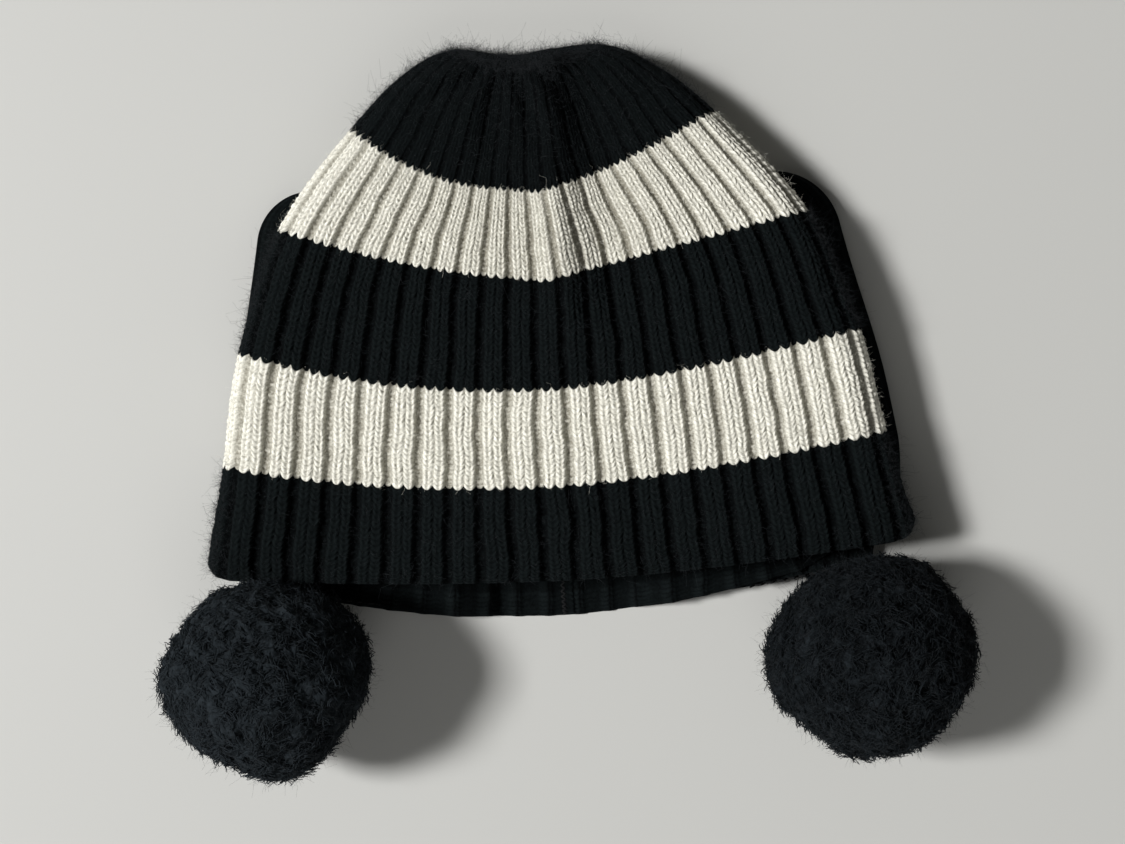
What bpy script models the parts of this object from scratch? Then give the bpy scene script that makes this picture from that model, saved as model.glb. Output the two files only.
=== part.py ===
"""Pom pom beanie: a striped rib-knit hat lying flat with its front up, and two folded pompom straps.

Metres, +Z up. The hat lies on the plane z = 0 with its crown towards +Y and its hem towards -Y.
"""
import math

import bmesh
import bpy
from mathutils import Matrix, Vector

MM = 0.001
GAP = 0.3 * MM  # clearance between neighbouring pieces

# The hat. Each course is one knitted round, from the hem up to the gathered crown:
# half width, y at the side folds, y at the middle of the front, y at the middle of the back,
# radius of the side folds, height of the side folds' middle, sag of the back between the straps.
COURSES = (
    (122.5, -54.0, -60.0, -72.5, 10.0, 18.3, 8.3),
    (116.0, -15.5, -27.5, -37.0, 10.5, 18.8, 8.3),
    (108.5, 23.0, 6.5, -1.0, 10.5, 18.8, 8.3),
    (93.0, 64.0, 45.0, 40.0, 10.5, 18.8, 8.3),
    (64.5, 101.0, 76.5, 73.0, 10.0, 18.3, 5.0),
    (42.0, 119.0, 103.0, 101.0, 9.5, 16.0, 2.0),
    (21.0, 125.4, 119.5, 119.0, 8.5, 14.0, 0.0),
    (7.0, 125.4, 124.8, 124.8, 6.0, 13.0, 0.0),
)
# Each stripe: name, first course, last course, rows of faces, and whether its yarn is black.
STRIPES = (
    ("brim_black_stripe", 0, 1, 3, True),
    ("lower_white_stripe", 1, 2, 3, False),
    ("middle_black_stripe", 2, 3, 3, True),
    ("upper_white_stripe", 3, 4, 3, False),
    ("crown_black_stripe", 4, 7, 7, True),
)
WALL = 4.0  # thickness of the rib knit
DOME = 2.5  # how far the middle of the front stands above the side folds
SAG_FLAT, SAG_EDGE = 22.0, 38.0  # half widths over which the back lies flat, and rises to the straps
FLAT_STEPS, FOLD_STEPS = 16, 6  # faces across the front or back, and round each side fold
STRIPE_GAP = 0.006  # half the gap between stripes, in courses
HOLE_SHRINK = 1.4  # how much smaller than the last course the gathering ring is
SEAM_START, SEAM_LENGTH, SEAM_STEPS = 0.05, 5.0, 14  # the back seam, in courses
SEAM_RADIUS = 1.0

# The straps, each sewn to the back of the hem, folded up behind the hat and back down again.
STRAP_ROOT = (92.0, -64.5)  # middle of the sewn end
STRAP_SLANT = math.radians(9.1)
STRAP_LENGTH, STRAP_WIDTH, STRAP_THICK = 146.0, 60.0, 3.6
LOWER_LAYER, UPPER_LAYER = 0.0, 4.0  # undersides of the two folded layers
HEM_AXIS_Z, FOLD_AXIS_Z = 8.0, 3.8  # each hinge line lies between the layers that it joins
STRAP_CORNER = 14.0
END_GAP = 0.2  # each run stops this short of its hinge line
SOFT_EDGE = 1.2
NECK_START = 14.0  # distance of the gathered end from the sewn end
NECK_WIDTH, NECK_SHIFT = 34.0, 4.0  # width there, and how far it has moved outwards
TAPER_LENGTH = 46.0
NECK_FOOT = -4.0  # where the line from the pompom's middle through the neck meets the surface
NECK_RISES, NECK_STEPS = 0.62, 8  # share of the gathered end that lies flat, and its sections

# The pompoms, lying beside the hem with the flat of each resting on z = 0.
POMPOM_CENTRE = (106.5, -93.7, 33.0)
POMPOM_RADIUS, POMPOM_HALF_HEIGHT = 33.6, 33.5
NECK_CLEARANCE = 1.4  # between the gathered end and the pile
NECK_ROPE_RADIUS = 3.2
TIE_SLACK, TIE_INSET = 0.8, 0.9  # room inside the neck's tie, and how far it sits from the tip
CHANNEL_MOUTH, CHANNEL_END = 8.0, 5.6  # radii of the open channel to the middle of the pile
CHANNEL_PAST, CHANNEL_OUT = 3.0, 3.0  # how far the cutter runs past the middle, and out of the pile
CENTRE_TIE = 3.4  # radius of the loop at the middle of the pile
TIE_OFFSET, THREAD_OFFSET, THREAD_STOP = 1.0, 1.0, 2.0  # where the loop and the sewing thread start and end
THREAD_RADIUS = 0.8

# The sewing that holds each strap to the hem.
STITCH_RADIUS = 0.45
STITCH_LOW, STITCH_HIGH = 8.9, 11.7
STITCHES, STITCH_INSET, STITCH_MARGIN = 14, 0.9, 4.0

BLACK_WOOL = ("black_wool", (0.012, 0.014, 0.016), 0.95)
WHITE_WOOL = ("white_wool", (0.68, 0.66, 0.57), 0.92)
BLACK_THREAD = ("black_thread", (0.010, 0.010, 0.011), 0.75)


def clear_scene():
    for item in list(bpy.data.objects):
        bpy.data.objects.remove(item, do_unlink=True)


def collection(name):
    group = bpy.data.collections.new(name)
    bpy.context.scene.collection.children.link(group)
    return group


def material(name, look):
    """Each piece has a Principled material of its own."""
    finish, colour, roughness = look
    made = bpy.data.materials.new(f"{name}_{finish}")
    made.use_nodes = True
    shader = made.node_tree.nodes["Principled BSDF"]
    shader.inputs["Base Color"].default_value = (*colour, 1.0)
    shader.inputs["Roughness"].default_value = roughness
    shader.inputs["Metallic"].default_value = 0.0
    return made


def add_piece(name, mesh_data, look, group, matrix=Matrix.Identity(4)):
    piece = bpy.data.objects.new(name, mesh_data)
    piece.matrix_world = matrix
    piece.data.materials.append(material(name, look))
    group.objects.link(piece)
    return piece


def finish_mesh(name, mesh):
    """Turn the faces outwards and shade the round parts smooth."""
    bmesh.ops.recalc_face_normals(mesh, faces=mesh.faces)
    data = bpy.data.meshes.new(name)
    mesh.to_mesh(data)
    mesh.free()
    data.shade_smooth()
    data.set_sharp_from_angle(angle=math.radians(40))
    return data


def loft(name, loops, capped):
    """Skin a row of equal loops, with a flat cap at each end, or closed back on to the first loop."""
    mesh = bmesh.new()
    rows = [[mesh.verts.new(point) for point in loop] for loop in loops]
    pairs = list(zip(rows, rows[1:]))
    if not capped:
        pairs.append((rows[-1], rows[0]))
    for low, high in pairs:
        for i in range(len(low)):
            j = (i + 1) % len(low)
            mesh.faces.new((low[i], low[j], high[j], high[i]))
    if capped:
        mesh.faces.new(rows[0])
        mesh.faces.new(rows[-1])
    return finish_mesh(name, mesh)


def slab(name, outline, low, high):
    """A flat sheet of the given outline between two heights."""
    mesh = bmesh.new()
    face = mesh.faces.new([mesh.verts.new((x, y, low)) for x, y in outline])
    made = bmesh.ops.extrude_face_region(mesh, geom=[face])
    top = [item for item in made["geom"] if isinstance(item, bmesh.types.BMVert)]
    bmesh.ops.translate(mesh, verts=top, vec=(0.0, 0.0, high - low))
    return finish_mesh(name, mesh)


def soften(piece):
    """Round the edges of a sheet of cloth."""
    edge = piece.modifiers.new("soft_edge", "BEVEL")
    edge.width = SOFT_EDGE * MM
    edge.segments = 2
    edge.limit_method = "ANGLE"
    edge.angle_limit = math.radians(50)


def tube(name, points, radius, look, group):
    """A thread along the points."""
    curve = bpy.data.curves.new(name, "CURVE")
    curve.dimensions = "3D"
    curve.bevel_depth = radius
    curve.bevel_resolution = 2
    curve.use_fill_caps = True
    line = curve.splines.new("POLY")
    line.points.add(len(points) - 1)
    for knot, point in zip(line.points, points):
        knot.co = (*point, 1.0)
    guide = bpy.data.objects.new(name + "_route", curve)
    group.objects.link(guide)
    bpy.context.view_layer.update()
    data = bpy.data.meshes.new_from_object(guide.evaluated_get(bpy.context.evaluated_depsgraph_get()))
    bpy.data.objects.remove(guide, do_unlink=True)
    mesh = bmesh.new()
    mesh.from_mesh(data)
    bpy.data.meshes.remove(data)
    bmesh.ops.remove_doubles(mesh, verts=mesh.verts, dist=0.00001)
    return add_piece(name, finish_mesh(name, mesh), look, group)


def ring(name, centre, axis, major, minor, look, group):
    """A closed loop of thread round an axis."""
    steps, sides = 16, 6
    loops = []
    for i in range(steps):
        turn = 2.0 * math.pi * i / steps
        outward = Vector((math.cos(turn), math.sin(turn), 0.0))
        loop = []
        for j in range(sides):
            bend = 2.0 * math.pi * j / sides
            rise = Vector((0.0, 0.0, minor * math.sin(bend)))
            loop.append(outward * (major + minor * math.cos(bend)) + rise)
        loops.append(loop)
    turned = Vector((0.0, 0.0, 1.0)).rotation_difference(axis).to_matrix().to_4x4()
    return add_piece(name, loft(name, loops, False), look, group, Matrix.Translation(centre) @ turned)


# ---------------------------------------------------------------- the hat

def smooth_step(low, high, value):
    share = min(max((value - low) / (high - low), 0.0), 1.0)
    return share * share * (3.0 - 2.0 * share)


def course(v):
    """The course's seven sizes at any height v, on a smooth curve through the listed courses."""
    last = len(COURSES) - 1
    i = min(max(int(v), 0), last - 1)
    t = v - i
    before = COURSES[max(i - 1, 0)]
    after = COURSES[min(i + 2, last)]
    sizes = []
    for p0, p1, p2, p3 in zip(before, COURSES[i], COURSES[i + 1], after):
        curved = p2 - p0 + t * (2 * p0 - 5 * p1 + 4 * p2 - p3 + t * (3 * (p1 - p2) + p3 - p0))
        sizes.append(p1 + 0.5 * t * curved)
    return sizes


def tube_section(half_width, radius):
    """Points round a flattened tube: x, and height from its middle as a share of the fold radius."""
    flat = half_width - radius
    points = [(-flat + 2.0 * flat * i / FLAT_STEPS, 1.0) for i in range(FLAT_STEPS)]
    for i in range(FOLD_STEPS):
        turn = math.pi * i / FOLD_STEPS
        points.append((flat + radius * math.sin(turn), math.cos(turn)))
    return points + [(-x, -height) for x, height in points]


def outer_loop(v):
    """One course round the outside of the hat."""
    half_width, side_y, front_y, back_y, radius, middle_z, sag = course(v)
    loop = []
    for x, height in tube_section(half_width, radius):
        inward = 1.0 - (x / half_width) ** 2
        front_share = 0.5 + 0.5 * height
        drop = side_y - (front_y * front_share + back_y * (1.0 - front_share))
        z = middle_z + radius * height
        if height > 0.0:
            z += DOME * inward * height
        else:
            z += sag * height * (1.0 - smooth_step(SAG_FLAT, SAG_EDGE, abs(x)))
        loop.append(Vector((x, side_y - drop * inward, max(z, 0.0))) * MM)
    return loop


def wall_loops(v):
    """The course's outer loop, and its inner loop one wall thickness inside it."""
    step = 0.02
    top = len(COURSES) - 1
    here = outer_loop(v)
    low = outer_loop(max(v - step, 0.0))
    high = outer_loop(min(v + step, top))
    inner = []
    for i, point in enumerate(here):
        around = here[(i + 1) % len(here)] - here[i - 1]
        outward = around.cross(high[i] - low[i]).normalized()
        inner.append(point - outward * WALL * MM)
    return here, inner


def build_stripe(name, first, last, rows, look, group):
    """One stripe of the knitted tube, a ring with an outside, an inside and two edges."""
    top = len(COURSES) - 1
    start = first + (STRIPE_GAP if first > 0 else 0.0)
    end = last - (STRIPE_GAP if last < top else 0.0)
    walls = [wall_loops(start + (end - start) * i / rows) for i in range(rows + 1)]
    loops = [outer for outer, _ in walls] + [inner for _, inner in reversed(walls)]
    return add_piece(name, loft(name, loops, False), look, group)


def build_crown_thread(group):
    """The thread that gathers the last course closed, drawn up in a ring over the hole that it leaves."""
    _, side_y, _, _, radius, middle_z, _ = COURSES[-1]
    centre = Vector((0.0, side_y + THREAD_RADIUS, middle_z)) * MM + Vector((0.0, GAP, 0.0))
    major = (radius - THREAD_RADIUS - HOLE_SHRINK) * MM
    return ring("crown_gather_thread", centre, Vector((0.0, 1.0, 0.0)), major, THREAD_RADIUS * MM,
                BLACK_THREAD, group)


def build_back_seam(group):
    """The seam ridge inside the middle of the back, from the hem to the crown."""
    middle = FLAT_STEPS + FOLD_STEPS + FLAT_STEPS // 2
    radius = SEAM_RADIUS * MM
    points = []
    for i in range(SEAM_STEPS + 1):
        outer, inner = wall_loops(SEAM_START + SEAM_LENGTH * i / SEAM_STEPS)
        inward = (inner[middle] - outer[middle]).normalized()
        points.append(inner[middle] + inward * (radius + GAP))
    return tube("back_seam", points, radius, BLACK_THREAD, group)


# ---------------------------------------------------------------- the straps

def strap_frame(side, along, z):
    """The world matrix of a strap's own axes: X across it and outwards, Y along it from the hem."""
    slant = side * STRAP_SLANT
    start = Vector((side * STRAP_ROOT[0], STRAP_ROOT[1], z))
    way = Vector((-math.sin(slant), math.cos(slant), 0.0))
    return Matrix.Translation((start + way * along) * MM) @ Matrix.Rotation(slant, 4, "Z")


def rounded_end(side, half_width, far, corner):
    """The folded end of a strap, whose outer corner is round."""
    points = [(-side * half_width, far)]
    for i in range(7):
        turn = 0.5 * math.pi * (1.0 - i / 6.0)
        x = half_width - corner + corner * math.cos(turn)
        points.append((side * x, far - corner + corner * math.sin(turn)))
    return points


def build_first_run(prefix, side, group):
    """The upper layer, from the sewn end at the hem up to the fold."""
    half = STRAP_WIDTH / 2.0
    outline = rounded_end(side, half, STRAP_LENGTH - END_GAP, STRAP_CORNER)
    outline += [(side * half, END_GAP), (-side * half, END_GAP)]
    scaled = [(x * MM, y * MM) for x, y in outline]
    low = (UPPER_LAYER - HEM_AXIS_Z) * MM
    data = slab(prefix + "strap_first_run", scaled, low, low + STRAP_THICK * MM)
    frame = strap_frame(side, 0.0, HEM_AXIS_Z)
    soften(add_piece(prefix + "strap_first_run", data, BLACK_WOOL, group, frame))


def build_second_run(prefix, side, group):
    """The lower layer, from the fold back down, narrowing towards the gathered end."""
    half = STRAP_WIDTH / 2.0
    tip = NECK_WIDTH / 2.0
    far = NECK_START - STRAP_LENGTH
    points = rounded_end(side, half, -END_GAP, STRAP_CORNER)
    for i in range(7):
        share = smooth_step(0.0, 1.0, i / 6.0)
        x = half + (NECK_SHIFT + tip - half) * share
        points.append((side * x, far + TAPER_LENGTH * (1.0 - i / 6.0)))
    for i in range(7):
        share = smooth_step(0.0, 1.0, 1.0 - i / 6.0)
        x = -half + (NECK_SHIFT - tip + half) * share
        points.append((side * x, far + TAPER_LENGTH * i / 6.0))
    scaled = [(x * MM, y * MM) for x, y in points]
    low = (LOWER_LAYER - FOLD_AXIS_Z) * MM
    data = slab(prefix + "strap_second_run", scaled, low, low + STRAP_THICK * MM)
    frame = strap_frame(side, STRAP_LENGTH, FOLD_AXIS_Z)
    soften(add_piece(prefix + "strap_second_run", data, BLACK_WOOL, group, frame))


def pompom_line(side):
    """The pompom's middle, the tip of the strap's neck, and the direction between them."""
    centre = Vector((side * POMPOM_CENTRE[0], POMPOM_CENTRE[1], POMPOM_CENTRE[2])) * MM
    foot = strap_frame(side, NECK_FOOT, 0.0) @ Vector((side * NECK_SHIFT * MM, 0.0, 0.0))
    away = (foot - centre).normalized()
    return centre, centre + away * (POMPOM_RADIUS + NECK_CLEARANCE) * MM, away


def neck_path(side):
    """The middle of the gathered end: flat on the surface, then rising to the pompom."""
    start = strap_frame(side, NECK_START, STRAP_THICK / 2.0) @ Vector((side * NECK_SHIFT * MM, -GAP, 0.0))
    _, tip, _ = pompom_line(side)
    points = []
    for i in range(NECK_STEPS + 1):
        t = i / NECK_STEPS
        rise = max((t - NECK_RISES) / (1.0 - NECK_RISES), 0.0) ** 1.5
        point = start.lerp(tip, t)
        point.z = start.z + (tip.z - start.z) * rise
        points.append(point)
    return points


def build_gathered_end(prefix, side, group):
    """The strap's end, drawn together from a flat band into a round neck that rises to the pompom."""
    frame = strap_frame(side, NECK_START, 0.0)
    back = frame.inverted()
    path = [back @ point for point in neck_path(side)]
    sides = 20
    loops = []
    for i, place in enumerate(path):
        t = i / NECK_STEPS
        way = (path[min(i + 1, NECK_STEPS)] - path[max(i - 1, 0)]).normalized()
        narrow = smooth_step(0.0, 1.0, t)
        thicken = smooth_step(NECK_RISES, 1.0, t)
        across = (NECK_WIDTH / 2.0 * (1.0 - narrow) + NECK_ROPE_RADIUS * narrow) * MM
        depth = (STRAP_THICK / 2.0 * (1.0 - thicken) + NECK_ROPE_RADIUS * thicken) * MM
        lift = Vector((1.0, 0.0, 0.0)).cross(way).normalized()
        loop = []
        for j in range(sides):
            turn = 2.0 * math.pi * j / sides
            flat = math.copysign(abs(math.cos(turn)) ** (0.5 + 0.5 * narrow), math.cos(turn))
            point = place + Vector((across * flat, 0.0, 0.0)) + lift * depth * math.sin(turn)
            point.z = max(point.z, 0.0)
            loop.append(point)
        loops.append(loop)
    add_piece(prefix + "strap_gathered_end", loft(prefix + "neck", loops, True), BLACK_WOOL, group, frame)


def build_neck_tie(prefix, side, group):
    """The thread wound round the gathered neck."""
    path = neck_path(side)
    way = (path[-1] - path[-2]).normalized()
    major = (NECK_ROPE_RADIUS + THREAD_RADIUS + TIE_SLACK) * MM
    ring(prefix + "neck_tie", path[-1] - way * TIE_INSET * MM, way, major, THREAD_RADIUS * MM,
         BLACK_THREAD, group)


def build_stitching(prefix, side, group):
    """The zigzag sewing that holds the strap to the edge of the hem."""
    frame = strap_frame(side, 0.0, 0.0)
    points = []
    for i in range(STITCHES + 1):
        across = side * (STRAP_WIDTH - 2.0 * STITCH_MARGIN) * (i / STITCHES - 0.5)
        height = STITCH_LOW if i % 2 else STITCH_HIGH
        points.append(frame @ (Vector((across, STITCH_INSET, height)) * MM))
    tube(prefix + "strap_stitching", points, STITCH_RADIUS * MM, BLACK_THREAD, group)


# ---------------------------------------------------------------- the pompoms

def build_pompom(prefix, side, group, cutters):
    """The ball of cut yarn, flat where it rests, with an open channel to the tie at its middle."""
    centre, _, away = pompom_line(side)
    mesh = bmesh.new()
    bmesh.ops.create_uvsphere(mesh, u_segments=28, v_segments=16, radius=1.0)
    for vert in mesh.verts:
        vert.co.x *= POMPOM_RADIUS * MM
        vert.co.y *= POMPOM_RADIUS * MM
        vert.co.z = max(vert.co.z * POMPOM_HALF_HEIGHT, -POMPOM_CENTRE[2]) * MM
    name = prefix + "pompom_pile"
    pile = add_piece(name, finish_mesh(name, mesh), BLACK_WOOL, group, Matrix.Translation(centre))

    depth = (POMPOM_RADIUS + CHANNEL_PAST + CHANNEL_OUT) * MM
    mesh = bmesh.new()
    bmesh.ops.create_cone(mesh, cap_ends=True, segments=16, radius1=CHANNEL_END * MM,
                          radius2=CHANNEL_MOUTH * MM, depth=depth)
    turned = Vector((0.0, 0.0, 1.0)).rotation_difference(away).to_matrix().to_4x4()
    place = Matrix.Translation(centre + away * (depth / 2.0 - CHANNEL_PAST * MM)) @ turned
    cutter = bpy.data.objects.new(prefix + "pompom_channel", finish_mesh(prefix + "channel", mesh))
    cutter.matrix_world = place
    cutter.hide_render = True
    cutter.display_type = "WIRE"
    cutters.objects.link(cutter)
    cut = pile.modifiers.new("channel", "BOOLEAN")
    cut.operation = "DIFFERENCE"
    cut.solver = "EXACT"
    cut.object = cutter


def build_pompom_threads(prefix, side, group):
    """The tie that holds the yarn bundle, and the thread from it out to the strap's neck."""
    centre, _, away = pompom_line(side)
    ring(prefix + "pompom_centre_tie", centre + away * TIE_OFFSET * MM, away, CENTRE_TIE * MM,
         THREAD_RADIUS * MM, BLACK_THREAD, group)
    length = (POMPOM_RADIUS - THREAD_STOP) * MM
    start = centre - away * THREAD_OFFSET * MM
    tube(prefix + "pompom_sewing_thread", [start, start + away * length], THREAD_RADIUS * MM,
         BLACK_THREAD, group)


def main():
    clear_scene()
    hat = collection("pom_pom_beanie")
    cutters = collection("cutters")
    for name, first, last, rows, is_black in STRIPES:
        build_stripe(name, first, last, rows, BLACK_WOOL if is_black else WHITE_WOOL, hat)
    build_crown_thread(hat)
    build_back_seam(hat)
    for prefix, side in (("left_", -1.0), ("right_", 1.0)):
        build_first_run(prefix, side, hat)
        build_second_run(prefix, side, hat)
        build_gathered_end(prefix, side, hat)
        build_neck_tie(prefix, side, hat)
        build_stitching(prefix, side, hat)
        build_pompom(prefix, side, hat, cutters)
        build_pompom_threads(prefix, side, hat)


main()
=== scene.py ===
"""The looks of the pom pom beanie: stitch-by-stitch rib knit, cut-yarn pompoms and fine wool fibres."""
import itertools
import math

import bmesh
import bpy
import numpy as np
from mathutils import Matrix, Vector


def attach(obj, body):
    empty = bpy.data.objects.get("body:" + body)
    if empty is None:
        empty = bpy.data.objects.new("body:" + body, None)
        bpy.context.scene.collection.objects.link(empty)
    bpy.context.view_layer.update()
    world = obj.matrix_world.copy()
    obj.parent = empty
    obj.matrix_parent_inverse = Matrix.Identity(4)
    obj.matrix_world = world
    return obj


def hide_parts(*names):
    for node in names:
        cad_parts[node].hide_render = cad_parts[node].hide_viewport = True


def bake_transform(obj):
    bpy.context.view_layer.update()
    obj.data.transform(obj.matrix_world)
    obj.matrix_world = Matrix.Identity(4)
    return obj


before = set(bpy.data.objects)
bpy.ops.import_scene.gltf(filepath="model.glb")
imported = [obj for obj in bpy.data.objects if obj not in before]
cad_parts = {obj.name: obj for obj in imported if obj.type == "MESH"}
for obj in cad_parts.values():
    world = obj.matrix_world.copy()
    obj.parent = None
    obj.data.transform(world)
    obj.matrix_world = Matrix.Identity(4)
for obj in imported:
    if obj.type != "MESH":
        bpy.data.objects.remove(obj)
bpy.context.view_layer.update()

MM = 0.001

# ---------------------------------------------------------------- sizes, in millimetres

# Each course of the hat, from the hem to the crown: left and right half widths, y at the left and
# right folds, y at the middle of the front and of the back, fold radius, height of the fold's
# middle, sag of the back between the straps, and how sharply the course bends left and right.
COURSES = np.array((
    (124.4, 123.9, -54.5, -51.5, -60.4, -75.5, 10.0, 18.3, 8.3, 2.0, 1.6),
    (117.2, 115.0, -15.4, -13.7, -27.5, -38.0, 10.5, 18.8, 8.3, 2.2, 1.5),
    (109.9, 107.3, 24.0, 22.6, 6.2, -1.0, 10.5, 18.8, 8.3, 2.1, 1.5),
    (94.0, 91.2, 66.3, 64.5, 44.6, 40.0, 10.5, 18.8, 8.3, 1.6, 1.1),
    (67.4, 60.6, 101.0, 101.4, 76.2, 73.0, 10.0, 18.3, 5.0, 2.4, 1.5),
    (48.0, 40.6, 120.2, 119.2, 102.0, 100.0, 9.5, 16.0, 2.0, 2.0, 1.7),
    (31.0, 20.5, 128.2, 128.0, 119.0, 118.5, 8.5, 14.0, 0.0, 2.0, 2.0),
    (12.2, -9.8, 125.6, 125.4, 124.8, 125.0, 1.2, 13.0, 0.0, 2.0, 2.0),
))
# Each stripe: name, first and last course of the table, knitted rounds, rows of faces to a round
# outside, columns of faces to a knit stitch on the front, whether its yarn is black.
STRIPES = (
    ("brim_black", 0, 1, 19, 5, 9, True),
    ("lower_white", 1, 2, 20, 6, 10, False),
    ("middle_black", 2, 3, 22, 5, 9, True),
    ("upper_white", 3, 4, 19, 6, 10, False),
    ("crown_black", 4, 7, 27, 5, 8, True),
)
TOP = 7.0  # the last course of the table, where the crown is drawn shut
DOME = 2.5  # how much higher the front stands along its middle than at its folds
GATHER = (-11.0, 125.0, 13.0)  # where the crown is drawn together
SAG_FLAT, SAG_EDGE = 22.0, 38.0  # where the sag of the back stops being full, and where it ends
CORNER = 7.0  # radius of the hem's corners
PROUD = 1.3  # how far the tops of the ribs stand outside the courses
RIBS = 46  # round the hat, half of them on the front
RIB_PITCH = 10.26
ROUND = 1.9  # height of one knitted round
PURL_SHARE = 0.115  # of a rib, for each of its two sunken columns
RIB_RISE, YARN = 0.9, 0.76  # half the depth of the ribs, and the relief of the yarn
WALL = 2.0  # from the surface of the yarn to the other side of the cloth
RIB_WALES, WALE = 4, 3.3  # columns of stitches in a rib, and their width with the rib pulled open
EDGE_WAVE = 0.45  # how far a stitch dips below and rises above its round, in rounds
OPEN_HEM = 6  # rounds whose inner face shows below the front
CROWN_SOFT = 0.5  # how much flatter the felted ribs of the crown are
CREASE_SHADE, CREASE_SHADE_AT, CREASE_SHADE_WIDE = 0.34, 4.0, 44.0  # painted shade round the crease and pleats: how much darker the middle of the upper white stripe is, where across, and how wide
GATHER_TURNS, GATHER_REACH, GATHER_CORD = 4, 3.7, 0.68  # the thread coiled in the crown's opening

# In each table by side, -1.0 is the left of the photo and 1.0 is the right.
LEFT, RIGHT = -1.0, 1.0
PREFIX = {LEFT: "left_", RIGHT: "right_"}
STRAP_ROOT, STRAP_SLANT = (92.0, -64.5), math.radians(9.1)
STRAP_LENGTH, STRAP_HALF, STRAP_OUT = 146.0, 30.0, 33.0  # to the fold, and its reach inwards and outwards
STRAP_CORNER = {LEFT: 20.0, RIGHT: 24.0}  # radius of the outer corner at the fold
STRAP_FLARE = {LEFT: 1.5, RIGHT: 5.0}  # how much further out each strap reaches below its fold
ROOT_TUCK = 13.0  # how much narrower the strap is where it is sewn under the hem
STRAP_THICK, STRAP_RIBS = 3.5, 6
UPPER_MIDDLE, FOLD_Z, LOWER_MIDDLE = 5.8, 3.8, 1.8  # heights of the run on the hat, the fold, the run below
FOLD_PIECE = 9.0  # length of each run in the piece that bends
NECK_START, NECK_HALF, NECK_SHIFT = 14.0, 17.0, 4.0  # place along the strap, half width, shift outwards
TAPER = 46.0  # length over which the lower run narrows to the neck
NECK_PIECE = 26.0  # from the hem's end of the strap to where the bending piece begins
NECK_FOOT = -4.0  # the place on the floor, along the strap, that each pompom's sewing points at
NECK_RISES, ROPE = 0.55, 3.2  # the share of the neck that lies flat, and its radius at the pompom
NECK_BURIED = 4.0  # how deep the neck reaches into the pompom

POMPOMS = {LEFT: (-103.9, -88.9, 33.6), RIGHT: (105.1, -91.6, 33.6)}
POMPOM_RADIUS = 34.2
LOBES = {  # bearing, height and width of the bulges and hollows in each outline
    LEFT: ((18.0, 3.0, 0.35), (-74.0, 2.4, 0.25), (-172.0, 3.2, 0.35), (-125.0, -3.6, 0.3),
           (-33.0, -3.0, 0.3)),
    RIGHT: ((62.0, 4.2, 0.3), (34.0, -1.4, 0.2), (8.0, 2.4, 0.3), (-175.0, 3.0, 0.6),
            (-136.0, -3.0, 0.25), (-100.0, 1.0, 0.2), (-45.0, -1.4, 0.3)),
}
TUFTS = ((0.9, 2.4), (0.9, 5.5), (1.0, 9.0), (0.6, 16.0))  # height, and how many to the radius
POMPOM_PAINTED_LIGHT = {LEFT: 0.25, RIGHT: -0.55}  # painted light and shade: the left pompom lighter and the right darker, as the window's light falls on them
POMPOM_SEED = {LEFT: 300, RIGHT: 500}
PILE_PARTS = 3  # pieces of cut yarn in each pompom
POMPOM_HAIRS, HAT_HAIRS = 6000, 6200  # in one piece of fibres
HAIR_STEPS = 6  # points along one fibre
HAIR_CURL, HAIR_SAG = 0.3, 0.7  # shares of a fibre's length
OFF_FLOOR = 0.02  # lowest place of the straps and the strands above the floor


# ---------------------------------------------------------------- numbers

def smooth(low, high, value):
    share = np.clip((value - low) / (high - low), 0.0, 1.0)
    return share * share * (3.0 - 2.0 * share)


def scatter(*whole):
    """A repeatable number from 0 to 1 for each set of whole numbers."""
    mixed = np.zeros(np.broadcast(*whole).shape, np.uint64)
    for i, part in enumerate(whole):
        part = np.asarray(part, np.int64).astype(np.uint64)
        mixed = (mixed ^ (part + np.uint64(0x9E3779B9 * (i + 1)))) * np.uint64(0x9E3779B97F4A7C15)
        mixed ^= mixed >> np.uint64(29)
    mixed *= np.uint64(0xBF58476D1CE4E5B9)
    mixed ^= mixed >> np.uint64(32)
    return (mixed >> np.uint64(11)).astype(float) / float(1 << 53)


def noise(seed, *places):
    """Smooth bumps from -1 to 1, one to a unit, in as many directions as there are places."""
    places = np.broadcast_arrays(*(np.asarray(place, float) for place in places))
    cells = [np.floor(place) for place in places]
    shares = [smooth(0.0, 1.0, place - cell) for place, cell in zip(places, cells)]
    total = 0.0
    for corner in itertools.product((0, 1), repeat=len(places)):
        weight = 1.0
        for share, far in zip(shares, corner):
            weight = weight * (share if far else 1.0 - share)
        total = total + weight * scatter(*(cell + far + 4096 for cell, far in zip(cells, corner)), seed)
    return 2.0 * total - 1.0


def unit(vectors):
    return vectors / np.maximum(np.linalg.norm(vectors, axis=-1, keepdims=True), 1e-9)


# ---------------------------------------------------------------- meshes

def mesh_from(name, points, quads, triangles, attributes):
    """A smooth mesh from points in millimetres and lists of corners."""
    data = bpy.data.meshes.new(name)
    data.vertices.add(len(points))
    data.vertices.foreach_set("co", np.ascontiguousarray(points * MM, np.float32).ravel())
    corners = np.concatenate((quads.ravel(), triangles.ravel())).astype(np.int32)
    starts = np.concatenate((np.arange(len(quads)) * 4, quads.size + np.arange(len(triangles)) * 3))
    data.loops.add(len(corners))
    data.loops.foreach_set("vertex_index", corners)
    data.polygons.add(len(starts))
    data.polygons.foreach_set("loop_start", starts.astype(np.int32))
    for key, values in attributes.items():
        layer = data.attributes.new(key, "FLOAT", "POINT")
        layer.data.foreach_set("value", np.ascontiguousarray(values, np.float32).ravel())
    data.update(calc_edges=True)
    data.validate()
    data.shade_smooth()
    return data


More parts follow.
